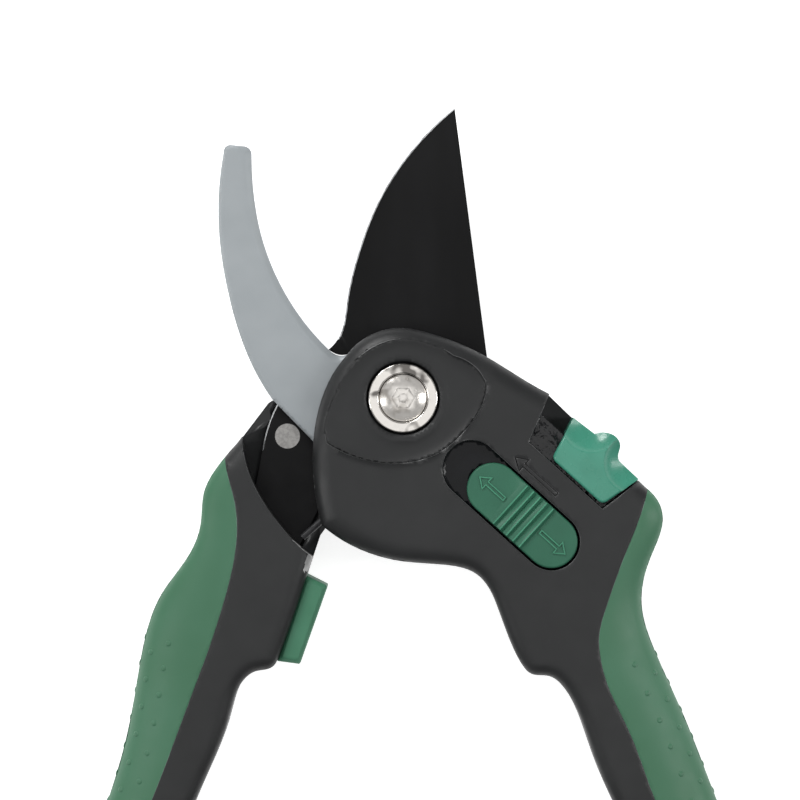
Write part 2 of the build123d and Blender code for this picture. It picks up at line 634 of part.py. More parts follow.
def left_tang_room():
    return outline(
        (-18.0, 4.8),
        [(-26.2, 1.2)],
        BLADE_TANG_OUTER,
        BLADE_TANG_SIDE,
        BLADE_TANG_TIP,
        BLADE_TANG_INNER,
        [(-18.0, 4.8)],
    )


def left_front_shell(whole, grip_space):
    solid = whole & block((-100, 60), (-140, 40), (PARTING_Z, TOTAL_HEIGHT))
    solid -= grip_space
    solid -= plate(left_pocket_face(), 0, TOTAL_HEIGHT)
    solid -= bumper_block(0.05)
    solid -= disc(WIRE_RADIUS + 0.3, PARTING_Z, 16.5, *polar(SPRING_REACH, SPRING_REACH_ANGLE))
    return cut_screws(solid, LEFT_SCREWS)


def bumper_block(clearance):
    """Soft stop, held by a tongue in the shells."""
    pad = make_face(Polyline((-21.4, -38.7), (-16.5, -41.2), (-22.6, -58.4), (-27.7, -57.7), (-21.4, -38.7)))
    held = [(-22.0, -43.0), (-26.0, -44.5), (-29.5, -54.5), (-26.0, -54.5), (-22.0, -43.0)]
    tongue = make_face(Polyline(*held))
    solid = plate(offset(pad, amount=clearance), BUMPER_BOTTOM - clearance, BUMPER_TOP + clearance)
    return solid + plate(offset(tongue, amount=clearance), 7.0 - clearance, 14.5 + clearance)


def bumper():
    solid = bumper_block(0)
    return chamfer(edges_at(solid, BUMPER_TOP), 0.9)


def tang_rivet():
    """Rivet through the tang into the rear shell, flush with the steel."""
    return disc(RIVET_RADIUS, 3.0, BLADE_TOP + 0.02, *RIVET_PLACE)


def opening_spring():
    """Torsion spring round the pivot: a coil, and a leg that bears on the left handle."""
    turns = 1.4
    start_z = FRONT_HEAD_BOTTOM + WIRE_RADIUS + 0.1
    lean = degrees(asin(COIL_RADIUS / SPRING_REACH))
    leg_heading = SPRING_REACH_ANGLE - lean
    leave_angle = leg_heading + 90
    end = polar(SPRING_REACH - 0.2, SPRING_REACH_ANGLE)
    leave = polar(COIL_RADIUS, leave_angle)
    coil = Helix(COIL_PITCH, COIL_PITCH * turns, COIL_RADIUS)
    coil = Pos(0, 0, start_z) * Rot(0, 0, leave_angle) * coil
    leg = Line((end[0], end[1], start_z), (leave[0], leave[1], start_z))
    wire_section = Circle(WIRE_RADIUS)
    leg_solid = sweep(Plane(origin=leg @ 0, z_dir=leg % 0) * wire_section, path=leg)
    coil_solid = sweep(Plane(origin=coil @ 0, z_dir=coil % 0) * wire_section, path=coil, is_frenet=True)
    return leg_solid + coil_solid


if __name__ == "__main__":
    os.makedirs("parts", exist_ok=True)
    right_whole = rounded_handle(right_handle_face())
    right_space = grip_room(right_handle_face(), right_grip_zone(), -1)
    left_whole = rounded_handle(left_handle_face())
    left_space = grip_room(left_handle_face(), left_grip_zone(), 1)
    parts = {
        "right_front_shell": right_front_shell(right_whole, right_space),
        "right_rear_shell": right_rear_shell(right_whole, right_space),
        "right_grip": right_whole & right_space,
        "hook_blade": hook_blade(),
        "hook_rivet": disc(HOOK_RIVET_RADIUS, HOOK_BOTTOM, HOOK_TOP + 1.4, *HOOK_RIVET_PLACE),
        "pivot_bolt": pivot_bolt(),
        "pivot_collar": pivot_collar(),
        "pivot_bushing": ring(BUSHING_RADIUS, BOLT_RADIUS + PRESS_FIT, NUT_RECESS_TOP + FIT, HOOK_TOP + FIT),
        "pivot_washer": ring(WASHER_RADIUS, BOLT_RADIUS + PRESS_FIT, NUT_HEIGHT + PRESS_FIT, NUT_RECESS_TOP),
        "pivot_nut": pivot_nut(),
        "right_shell_screws": screws(RIGHT_SCREWS),
        "switch_detent_spring": detent_spring(DETENT_SPAN, DETENT_ACROSS, RECESS_FLOOR - 0.8),
        "latch_detent_spring": detent_spring(LATCH_DETENT_SPAN, LATCH_DETENT_ACROSS, RAIL_TOP - 0.8),
        "switch_button": switch_button(),
        "switch_stop": switch_stop(),
        "switch_pin": switch_pin(),
        "latch_button": latch_button(),
        "latch_bolt": latch_bolt(),
        "latch_pin": latch_pin(),
        "cutting_blade": cutting_blade(),
        "left_front_shell": left_front_shell(left_whole, left_space),
        "left_rear_shell": left_rear_shell(left_whole, left_space),
        "left_grip": left_whole & left_space,
        "bumper": bumper(),
        "tang_rivet": tang_rivet(),
        "opening_spring": opening_spring(),
        "left_shell_screws": screws(LEFT_SCREWS),
    }
    for name, shape in parts.items():
        save(shape, name)
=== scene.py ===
import bmesh
import bpy
import json
import math
import numpy as np
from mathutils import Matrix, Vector, geometry, kdtree

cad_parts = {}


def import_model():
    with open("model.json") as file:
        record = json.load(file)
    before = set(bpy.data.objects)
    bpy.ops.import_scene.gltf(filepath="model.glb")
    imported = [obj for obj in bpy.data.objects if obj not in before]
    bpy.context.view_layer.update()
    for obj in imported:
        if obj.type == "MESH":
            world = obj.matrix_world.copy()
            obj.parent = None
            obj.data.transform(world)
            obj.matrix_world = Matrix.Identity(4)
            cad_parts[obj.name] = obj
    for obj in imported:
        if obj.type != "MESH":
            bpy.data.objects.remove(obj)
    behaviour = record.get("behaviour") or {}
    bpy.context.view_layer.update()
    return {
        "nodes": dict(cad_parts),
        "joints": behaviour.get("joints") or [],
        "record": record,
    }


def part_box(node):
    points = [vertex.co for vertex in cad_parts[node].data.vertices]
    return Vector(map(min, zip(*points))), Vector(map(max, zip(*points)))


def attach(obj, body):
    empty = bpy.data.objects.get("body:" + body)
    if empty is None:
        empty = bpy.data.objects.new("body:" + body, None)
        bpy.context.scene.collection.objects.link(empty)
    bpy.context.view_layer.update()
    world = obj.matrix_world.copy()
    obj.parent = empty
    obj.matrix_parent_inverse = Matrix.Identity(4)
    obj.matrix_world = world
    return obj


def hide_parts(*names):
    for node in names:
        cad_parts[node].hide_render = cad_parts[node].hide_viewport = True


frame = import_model()

MM = 0.001
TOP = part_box("right_grip")[1].z
EDGE_RADIUS = 2.5 * MM
ALONG = -Vector(frame["joints"][1]["axis"])
ACROSS = Vector((-ALONG.y, ALONG.x, 0))

# a face or point this close to a plane counts as lying in it
LEVEL = 0.005 * MM
FLAT = 0.999
UPRIGHT = 0.1


# ---- node materials -----------------------------------------------------

class Shader:
    """A small wrapper that builds one Principled material from nodes."""

    def __init__(self, name, color, roughness, metallic=0.0, **sockets):
        self.material = bpy.data.materials.new(name)
        self.material.use_nodes = True
        self.tree = self.material.node_tree
        self.bsdf = self.tree.nodes["Principled BSDF"]
        self.color = color
        self.bsdf.inputs["Base Color"].default_value = (*color, 1)
        self.bsdf.inputs["Roughness"].default_value = roughness
        self.bsdf.inputs["Metallic"].default_value = metallic
        for socket, value in sockets.items():
            self.bsdf.inputs[socket.replace("_", " ")].default_value = value
        self.place = self.tree.nodes.new("ShaderNodeTexCoord").outputs["Object"]

    def node(self, kind, **settings):
        made = self.tree.nodes.new(kind)
        for key, value in settings.items():
            if key in made.inputs:
                made.inputs[key].default_value = value
            else:
                setattr(made, key, value)
        return made

    def link(self, source, target):
        self.tree.links.new(source, target)

    def noise(self, size, detail=3.0, stretch=(1, 1, 1)):
        """Noise with features of about the given size in metres."""
        mapping = self.node("ShaderNodeMapping")
        mapping.inputs["Scale"].default_value = stretch
        self.link(self.place, mapping.inputs["Vector"])
        noise = self.node("ShaderNodeTexNoise", Scale=1 / size, Detail=detail)
        self.link(mapping.outputs["Vector"], noise.inputs["Vector"])
        return noise.outputs["Fac"]

    def remap(self, source, low, high, to_low, to_high):
        ramp = self.node("ShaderNodeMapRange")
        limits = {"From Min": low, "From Max": high, "To Min": to_low, "To Max": to_high}
        for socket, value in limits.items():
            ramp.inputs[socket].default_value = value
        self.link(source, ramp.inputs["Value"])
        return ramp.outputs["Result"]

    def tint(self, source, other, low=0.35, high=0.65):
        """Varies the base colour towards another one where the source is high."""
        mix = self.node("ShaderNodeMix", data_type="RGBA")
        mix.inputs["A"].default_value = (*self.color, 1)
        mix.inputs["B"].default_value = (*other, 1)
        self.link(self.remap(source, low, high, 0.0, 1.0), mix.inputs["Factor"])
        self.link(mix.outputs["Result"], self.bsdf.inputs["Base Color"])
        return self

    def vary_roughness(self, source, rough_low, rough_high, low=0.3, high=0.7):
        self.link(self.remap(source, low, high, rough_low, rough_high), self.bsdf.inputs["Roughness"])
        return self

    def bump(self, source, depth):
        bump = self.node("ShaderNodeBump", Strength=1.0, Distance=depth)
        self.link(source, bump.inputs["Height"])
        self.link(bump.outputs["Normal"], self.bsdf.inputs["Normal"])
        return self


def shell_plastic():
    s = Shader("shell_plastic", (0.0145, 0.0152, 0.0158), 0.42, Specular_IOR_Level=0.42)
    s.tint(s.noise(16 * MM), (0.0180, 0.0188, 0.0194))
    s.vary_roughness(s.noise(5 * MM), 0.38, 0.50)
    return s.bump(s.noise(0.25 * MM, 2.0), 0.010 * MM).material


def shaded_shell_gloss(name, specular, ripple):
    """The floors of the channels that the switch and the latch slide in: glossy, and painted darker than
    the shell as painted shade in the recesses.
    """
    s = Shader(name, (0.0045, 0.005, 0.0065), 0.2, Specular_IOR_Level=specular)
    s.vary_roughness(s.noise(1.4 * MM), 0.10, 0.24)
    s.tint(s.noise(3 * MM), (0.0065, 0.007, 0.009))
    return s.bump(s.noise(1.6 * MM, 2.0), ripple * MM).material


def painted_edge_tone(name, color):
    """Bevels of a moulding in a flat colour of their own: lighter ones are a painted highlight along
    crests and rims, dark ones painted shade in grooves.
    """
    s = Shader(name, color, 0.34, Specular_IOR_Level=0.6)
    s.tint(s.noise(4 * MM), [0.55 * value for value in color], 0.42, 0.62)
    s.vary_roughness(s.noise(2 * MM), 0.26, 0.42)
    return s.bump(s.noise(0.3 * MM, 2.0), 0.008 * MM).material


def grip_rubber():
    s = Shader("grip_rubber", (0.052, 0.162, 0.088), 0.45, Specular_IOR_Level=0.4)
    s.tint(s.noise(22 * MM), (0.061, 0.180, 0.104))
    s.vary_roughness(s.noise(4 * MM), 0.40, 0.50)
    return s.bump(s.noise(0.22 * MM, 2.0), 0.012 * MM).material


def blade_coating():
    s = Shader("blade_coating", (0.0070, 0.0070, 0.0073), 0.42, Specular_IOR_Level=0.10)
    s.tint(s.noise(12 * MM, 3.0, (1, 0.25, 1)), (0.0105, 0.0105, 0.011))
    s.vary_roughness(s.noise(3 * MM, 4.0), 0.34, 0.46)
    return s.bump(s.noise(0.14 * MM, 2.0), 0.005 * MM).material


def hook_coating():
    s = Shader("hook_coating", (0.345, 0.375, 0.392), 0.44, 0.1)
    s.tint(s.noise(9 * MM, 3.0), (0.370, 0.400, 0.417))
    s.vary_roughness(s.noise(6 * MM), 0.38, 0.50)
    return s.bump(s.noise(0.2 * MM, 2.0), 0.005 * MM).material


def honed_steel():
    s = Shader("honed_steel", (0.68, 0.69, 0.70), 0.34, 0.8)
    s.vary_roughness(s.noise(0.4 * MM), 0.24, 0.44)
    s.tint(s.noise(1.2 * MM), (0.30, 0.31, 0.32), 0.5, 0.7)
    return s.bump(s.noise(0.2 * MM), 0.004 * MM).material


def nickel(name="nickel", metallic=1.0, painted_reflection=(0.16, 0.15, 0.14), ripple=0.05):
    s = Shader(name, (0.78, 0.75, 0.71), 0.17, metallic)
    # patches of the darker second colour are painted reflections of dark surroundings in the plating
    s.tint(s.noise(4.5 * MM, 2.0), painted_reflection, 0.53, 0.62)
    s.vary_roughness(s.noise(1.2 * MM, 4.0), 0.12, 0.28)
    return s.bump(s.noise(2.2 * MM, 2.0), ripple * MM).material


def plain_steel():
    s = Shader("plain_steel", (0.46, 0.46, 0.465), 0.38, 1.0)
    s.tint(s.noise(0.35 * MM, 2.0), (0.62, 0.62, 0.63), 0.42, 0.6)
    s.vary_roughness(s.noise(0.8 * MM), 0.3, 0.5)
    return s.bump(s.noise(0.25 * MM, 2.0), 0.015 * MM).material


def spring_steel():
    s = Shader("spring_steel", (0.022, 0.022, 0.024), 0.45, 0.4)
    s.tint(s.noise(0.6 * MM), (0.034, 0.034, 0.036))
    s.vary_roughness(s.noise(0.5 * MM), 0.38, 0.55)
    return s.bump(s.noise(0.25 * MM), 0.01 * MM).material


def rivet_steel():
    s = Shader("rivet_steel", (0.34, 0.33, 0.32), 0.5, 0.4)
    s.tint(s.noise(0.6 * MM, 3.0), (0.46, 0.45, 0.435), 0.40, 0.60)
    s.vary_roughness(s.noise(0.6 * MM), 0.42, 0.6)
    return s.bump(s.noise(0.35 * MM, 2.0), 0.03 * MM).material


def bronze():
    s = Shader("bronze", (0.50, 0.33, 0.15), 0.4, 1.0)
    s.tint(s.noise(0.3 * MM), (0.38, 0.25, 0.12))
    s.vary_roughness(s.noise(0.8 * MM), 0.32, 0.5)
    return s.bump(s.noise(0.2 * MM), 0.01 * MM).material


def switch_plastic(name="switch_plastic", lighter=1.0):
    color = [lighter * value for value in (0.031, 0.132, 0.080)]
    s = Shader(name, color, 0.46, Specular_IOR_Level=0.32)
    s.tint(s.noise(8 * MM), [1.12 * value for value in color])
    s.vary_roughness(s.noise(2 * MM), 0.42, 0.52)
    return s.bump(s.noise(0.2 * MM, 2.0), 0.006 * MM).material


def latch_plastic():
    s = Shader("latch_plastic", (0.048, 0.262, 0.178), 0.28, Coat_Weight=0.18, Coat_Roughness=0.12)
    s.tint(s.noise(7 * MM), (0.058, 0.295, 0.204))
    s.vary_roughness(s.noise(2.5 * MM), 0.22, 0.34)
    return s.bump(s.noise(0.5 * MM, 2.0), 0.012 * MM).material


def bumper_rubber():
    s = Shader("bumper_rubber", (0.052, 0.190, 0.108), 0.55, Specular_IOR_Level=0.4)
    s.tint(s.noise(6 * MM), (0.060, 0.208, 0.122))
    s.vary_roughness(s.noise(2 * MM), 0.48, 0.62)
    return s.bump(s.noise(0.25 * MM, 2.0), 0.012 * MM).material


MATERIALS = {
    "shell_plastic": shell_plastic(),
    "grip_green": grip_rubber(),
    "blade_coated": blade_coating(),
    "hook_steel": hook_coating(),
    "chrome": nickel(),
    "steel": plain_steel(),
    "zinc_screw": plain_steel(),
    "bushing_bronze": bronze(),
    "switch_green": switch_plastic(),
    "latch_green": latch_plastic(),
    "bumper_green": bumper_rubber(),
}
# darker glossy floors for the channels: painted shade in the recesses
SHADED_GLOSS = shaded_shell_gloss("shaded_shell_gloss", 0.22, 0.03)
SHADED_RAIL_GLOSS = shaded_shell_gloss("shaded_rail_gloss", 0.5, 0.35)
# lighter bevel colours for shells and grips: painted highlights along their crests and rims
SHELL_EDGE_HIGHLIGHT = painted_edge_tone("shell_edge_highlight", (0.085, 0.086, 0.088))
GRIP_EDGE_HIGHLIGHT = painted_edge_tone("grip_edge_highlight", (0.085, 0.235, 0.150))
# a dark bevel colour for the bolt: painted shade along its socket and grooves
SOCKET_SHADE_LINE = painted_edge_tone("socket_shade_line", (0.035, 0.032, 0.030))
# a white patch: a painted highlight on the left shell beside the bumper
PAINTED_WHITE_HIGHLIGHT = painted_edge_tone("painted_white_highlight", (0.50, 0.50, 0.50))
HONED = honed_steel()
# a lighter switch plastic: a painted highlight on the ribs' crests, also used on the arrows' tops
SWITCH_TOP_HIGHLIGHT = switch_plastic("switch_top_highlight", 1.9)
SLOT_OF = {part["node"]: part["material_slot"] for part in frame["record"]["subparts"]}
BODIES = frame["record"]["behaviour"]["bodies"]
BODY_OF = {node: body for body, nodes in BODIES.items() for node in nodes}


def paint(obj, *materials):
    obj.data.materials.clear()
    for material in materials:
        obj.data.materials.append(material)


for name, obj in frame["nodes"].items():
    paint(obj, MATERIALS[SLOT_OF[name]])
paint(frame["nodes"]["tang_rivet"], rivet_steel())
paint(frame["nodes"]["opening_spring"], spring_steel())


# ---- mesh helpers -------------------------------------------------------

def node_mesh(name):
    """A welded bmesh of a CAD node."""
    bm = bmesh.new()
    bm.from_mesh(frame["nodes"][name].data)
    bmesh.ops.remove_doubles(bm, verts=bm.verts, dist=0.002 * MM)
    bm.normal_update()
    return bm


def stand_in(name, bm, materials, sharp_angle=35.0, bevel=0.0, bevel_material=-1):
    """Turns a bmesh into the piece that is shown in place of a CAD node."""
    mesh = bpy.data.meshes.new(f"{name}_visual")
    for material in materials:
        mesh.materials.append(material)
    bm.to_mesh(mesh)
    bm.free()
    piece = bpy.data.objects.new(f"{name}_visual", mesh)
    bpy.context.scene.collection.objects.link(piece)
    mesh.shade_smooth()
    mesh.set_sharp_from_angle(angle=math.radians(sharp_angle))
    if bevel:
        rounding = piece.modifiers.new("edge_rounding", "BEVEL")
        rounding.width = bevel
        rounding.segments = 2
        rounding.limit_method = "ANGLE"
        rounding.angle_limit = math.radians(38)
        rounding.harden_normals = True
        rounding.material = bevel_material
    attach(piece, BODY_OF[name])
    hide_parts(name)
    return piece


def inside(points, starts, ends):
    """Which points lie inside the closed loops made by the segments (even-odd rule)."""
    crossings = np.zeros(len(points), dtype=int)
    for (ax, ay), (bx, by) in zip(starts, ends):
        straddles = (ay > points[:, 1]) != (by > points[:, 1])
        slope_x = ax + (points[:, 1] - ay) * (bx - ax) / (by - ay if by != ay else 1.0)
        crossings += straddles & (points[:, 0] < slope_x)
    return crossings % 2 == 1


def on_plane(face, height, up=1):
    return face.normal.z * up > FLAT and abs(face.calc_center_median().z - height) < LEVEL


# height of a row of near-equilateral triangles, as a share of their side
ROW_PITCH = 0.87


def refine_plane(bm, height, up, spacing):
    """Meshes the flat region at one height again, with points about spacing apart."""
    def region():
        return [f for f in bm.faces if on_plane(f, height, up)]

    def rim(faces):
        chosen = set(faces)
        return [e for f in faces for e in f.edges if sum(g in chosen for g in e.link_faces) == 1]

    for edge in rim(region()):
        cuts = int(edge.calc_length() / spacing)
        if cuts:
            bmesh.ops.subdivide_edges(bm, edges=[edge], cuts=cuts)
    faces = region()
    if not faces:
        return
    edges = list(dict.fromkeys(rim(faces)))
    corners = list(dict.fromkeys(v for e in edges for v in e.verts))
    index = {v: i for i, v in enumerate(corners)}
    pairs = [(index[e.verts[0]], index[e.verts[1]]) for e in edges]
    flat = np.array([(v.co.x, v.co.y) for v in corners])
    starts = flat[[a for a, b in pairs]]
    ends = flat[[b for a, b in pairs]]
    kept = set(corners)
    loose = [v for f in faces for v in f.verts if v not in kept]
    bmesh.ops.delete(bm, geom=faces, context="FACES_ONLY")
    stray = [e for e in bm.edges if not e.link_faces]
    bmesh.ops.delete(bm, geom=stray, context="EDGES")
    loose = [v for v in set(loose) if v.is_valid and not v.link_edges]
    bmesh.ops.delete(bm, geom=loose, context="VERTS")

    low, high = flat.min(0), flat.max(0)
    columns = np.arange(low[0], high[0], spacing)
    rows = np.arange(low[1], high[1], spacing * ROW_PITCH)
    grid = np.array([(x + (i % 2) * spacing / 2, y) for i, y in enumerate(rows) for x in columns])
    grid = grid[inside(grid, starts, ends)]
    near = kdtree.KDTree(len(flat))
    for i, (x, y) in enumerate(flat):
        near.insert((x, y, 0), i)
    near.balance()
    grid = [(x, y) for x, y in grid if near.find((x, y, 0))[2] > spacing * 0.5]

    points = [Vector(p) for p in flat] + [Vector(p) for p in grid]
    verts, _, tris, sources, _, _ = geometry.delaunay_2d_cdt(points, pairs, [], 1, 1e-9)
    made = []
    for place, origin in zip(verts, sources):
        known = [i for i in origin if i < len(corners)]
        made.append(corners[known[0]] if known else bm.verts.new((place.x, place.y, height)))
    centres = np.array([(sum((verts[i] for i in t), Vector((0, 0))) / 3)[:] for t in tris])
    wanted = inside(centres, starts, ends)
    for triangle, keep in zip(tris, wanted):
        if not keep:
            continue
        loop = [made[i] for i in triangle]
        if (geometry.normal([v.co for v in loop]).z * up) < 0:
            loop.reverse()
        if len(set(loop)) == 3 and bm.faces.get(loop) is None:
            bm.faces.new(loop)
    bm.normal_update()


def along_edge(edge, spacing):
    """Points along an edge, at most about spacing apart, with both its ends."""
    start, end = (v.co for v in edge.verts)
    steps = max(1, int((end - start).length / spacing))
    return [start.lerp(end, i / steps) for i in range(steps + 1)]


def outline_points(name):
    """Points of a node along the handle's outline, where the CAD rounding starts."""
    points = []
    bm = node_mesh(name)
    for edge in bm.edges:
        if all(abs(v.co.z - (TOP - EDGE_RADIUS)) < 0.02 * MM for v in edge.verts):
            points += along_edge(edge, 0.3 * MM)
    bm.free()
    return points


def lookup(points):
    tree = kdtree.KDTree(max(1, len(points)))
    for i, p in enumerate(points):
        tree.insert((p.x, p.y, 0), i)
    tree.balance()
    return tree if points else None


def distance_to(tree, place):
    return tree.find((place.x, place.y, 0))[2] if tree else math.inf


def round_off(distance, width, drop):
    """Fall of a rounded edge at a distance from it."""
    if distance >= width:
        return 0.0
    return drop * (1 - math.sqrt(max(0.0, 1 - (1 - distance / width) ** 2)))


def ease(value, start, end):
    share = min(1.0, max(0.0, (value - start) / (end - start)))
    return share * share * (3 - 2 * share)


# under the grips, the shells' cores start this deep, this far from the outline, and are lowered this much
GRIP_COVER = 2.3 * MM
CLEAR = 0.5 * MM
CORE_DROP = 1.2 * MM

# distances below the pivot between which the roundness of the shoulders changes
PALM_START, PALM_FULL = 24 * MM, 58 * MM
HEAD_END, HEAD_GONE = 26 * MM, 40 * MM

# width and fall of the shoulders on the side of the grip, and what they gain towards the palm
GRIP_ROUND_WIDTH, GRIP_ROUND_FALL = 5 * MM, 3 * MM
PALM_EXTRA_WIDTH, PALM_EXTRA_FALL = 7 * MM, 3.6 * MM

# the same on the side of the shell, and what they gain on the head
SHELL_ROUND_WIDTH, SHELL_ROUND_FALL = 3 * MM, 2.6 * MM
HEAD_EXTRA_WIDTH, HEAD_EXTRA_FALL = 2 * MM, 0.8 * MM


class Handle:
    """Outline of one handle, with the fall of its surface: fullest on the side of the grip."""

    def __init__(self, side):
        self.points = outline_points(f"{side}_grip")
        self.grip_side = lookup(self.points)
        self.shell_side = lookup(outline_points(f"{side}_front_shell"))

    def fall(self, place):
        """How far the rounded shoulder lies below the flat face at a place."""
        palm = ease(-place.y, PALM_START, PALM_FULL)
        head = 1 - ease(-place.y, HEAD_END, HEAD_GONE)
        grip_fall = round_off(distance_to(self.grip_side, place),
                              GRIP_ROUND_WIDTH + PALM_EXTRA_WIDTH * palm,
                              GRIP_ROUND_FALL + PALM_EXTRA_FALL * palm)
        shell_fall = round_off(distance_to(self.shell_side, place),
                               SHELL_ROUND_WIDTH + HEAD_EXTRA_WIDTH * head,
                               SHELL_ROUND_FALL + HEAD_EXTRA_FALL * head)
        return max(grip_fall, shell_fall)

    def is_core(self, place):
        """True for a point well below the faces and inside the outline, as a shell's core is."""
        depth = min(TOP - place.z, place.z)
        return depth > GRIP_COVER and self.from_outline(place) > CLEAR

    def from_outline(self, place):
        return min(distance_to(self.shell_side, place), distance_to(self.grip_side, place))


def soften(bm, handle):
    """Rounds the shoulders of the front and back, and keeps the shells' cores well below the grips."""
    for v in bm.verts:
        fall = handle.fall(v.co)
        if handle.is_core(v.co):
            fall += CORE_DROP
        if v.co.z > TOP / 2:
            v.co.z = min(v.co.z, TOP - fall)
        else:
            v.co.z = max(v.co.z, fall)
    bm.normal_update()


def edge_samples(edges):
    """A lookup of points along some edges, or None without any."""
    return lookup([point for edge in edges for point in along_edge(edge, 0.2 * MM)])


def rim_edges(bm, height, wanted, up=1):
    """The wanted edges between the flat region at a height and the walls round it."""
    chosen = []
    for edge in bm.edges:
        flats = [f for f in edge.link_faces if on_plane(f, height, up)]
        walls = [f for f in edge.link_faces if not on_plane(f, height, up)]
        if len(flats) == 1 and len(walls) == 1 and wanted(edge, walls[0]):
            chosen.append(edge)
    return chosen


def ease_edges(bm, edges, width, material):
    """Cuts a narrow bevel along some edges, in a material of its own."""
    bmesh.ops.bevel(bm, geom=edges, offset=width, offset_type="OFFSET", segments=1, profile=0.5,
                    affect="EDGES", clamp_overlap=False, material=material)
    bm.normal_update()


def tint_faces(bm, index, wanted):
    for face in bm.faces:
        if wanted(face):
            face.material_index = index


# ---- shells and grips ---------------------------------------------------

HANDLES = {"right": Handle("right"), "left": Handle("left")}

# heights of flat regions, and the spacing of the points that they are meshed with
FACE_FLOOR = TOP - 0.9 * MM
RAIL_TOP = 17.0 * MM
SWITCH_FLOOR = 18.4 * MM
PARTING = 10.0 * MM
SEAM_GAP = 0.02 * MM
SPACING = 0.9 * MM
FACE_SPACING = 0.6 * MM
RAIL_SPACING = 0.35 * MM
SWITCH_SPACING = 0.8 * MM

# widths of the bevels along the rims
RECESS_BEVEL = 0.15 * MM
RIM_BEVEL = 0.09 * MM
SEAM_BEVEL = 0.12 * MM

# places of the materials in each shell and grip: CHANNEL and RAIL take painted shade, EDGE and the last
# one painted highlights
PLAIN, CHANNEL, EDGE, RAIL, WHITE_HIGHLIGHT = range(5)

# the pivot's recess: where its rim runs, and its hollow foot and raised lip
RECESS_REACH = 30 * MM
RECESS_BOTTOM = -14.6 * MM
RECESS_RIGHT = 18.6 * MM
STEEP = 0.8
COUNTERBORE_REACH = 9 * MM
HOLLOW_HEIGHT, HOLLOW_WIDTH = 0.72 * MM, 3.2 * MM
HOLLOW_HEADING = math.radians(-50)
LIP_HEIGHT, LIP_WIDTH = 0.3 * MM, 1.1 * MM

# the ridge on the floor of the latch's channel
RIDGE_PLACE = 15.2 * MM
RIDGE_HEIGHT, RIDGE_WIDTH = 0.24 * MM, 0.9 * MM


def middle_of(edge):
    return (edge.verts[0].co + edge.verts[1].co) / 2


def in_face_recess(edge, wall):
    """True for the rim of the pivot's recess, above a steep wall."""
    place = middle_of(edge)
    in_zone = place.length < RECESS_REACH and place.y > RECESS_BOTTOM and place.x < RECESS_RIGHT
    return wall.normal.z < STEEP and in_zone


def off_counterbore(edge, wall):
    return edge.verts[0].co.length_squared > COUNTERBORE_REACH ** 2


def sculpt_face_recess(bm):
    """A hollow foot along the recess's wall, strongest at the lower right, and a low lip on its rim."""
    walls = edge_samples(rim_edges(bm, FACE_FLOOR, off_counterbore))
    for v in bm.verts:
        if abs(v.co.z - FACE_FLOOR) < LEVEL and v.co.xy.length > COUNTERBORE_REACH:
            facing = max(0.0, math.cos(math.atan2(v.co.y, v.co.x) - HOLLOW_HEADING))
            near = max(0.0, 1 - distance_to(walls, v.co) / HOLLOW_WIDTH)
            v.co.z += HOLLOW_HEIGHT * (0.55 + 0.45 * facing) * near ** 2
    lips = edge_samples(rim_edges(bm, TOP, in_face_recess))
    for v in bm.verts:
        if abs(v.co.z - TOP) < LEVEL:
            v.co.z += LIP_HEIGHT * max(0.0, 1 - distance_to(lips, v.co) / LIP_WIDTH) ** 2


def sculpt_rail(bm):
    """A low ridge along the floor of the latch's channel."""
    for v in bm.verts:
        if abs(v.co.z - RAIL_TOP) < LEVEL:
            off_ridge = (v.co.dot(ACROSS) - RIDGE_PLACE) / RIDGE_WIDTH
            v.co.z += RIDGE_HEIGHT * math.exp(-off_ridge ** 2)


def upright(edge, wall):
    return abs(wall.normal.z) < UPRIGHT


def on_outline(edge, wall):
    """True for edges along the handles' upright outer walls."""
    near = min(handle.from_outline(middle_of(edge)) for handle in HANDLES.values())
    return upright(edge, wall) and near < 0.1 * MM


def is_white_highlit(face):
    """True for the top of the left shell's inner side, next to the bumper, which gets a painted white
    highlight.
    """
    place = face.calc_center_median()
    return face.normal.x > 0.5 and place.z > TOP - 4 * MM and -38 * MM < place.y < -31 * MM


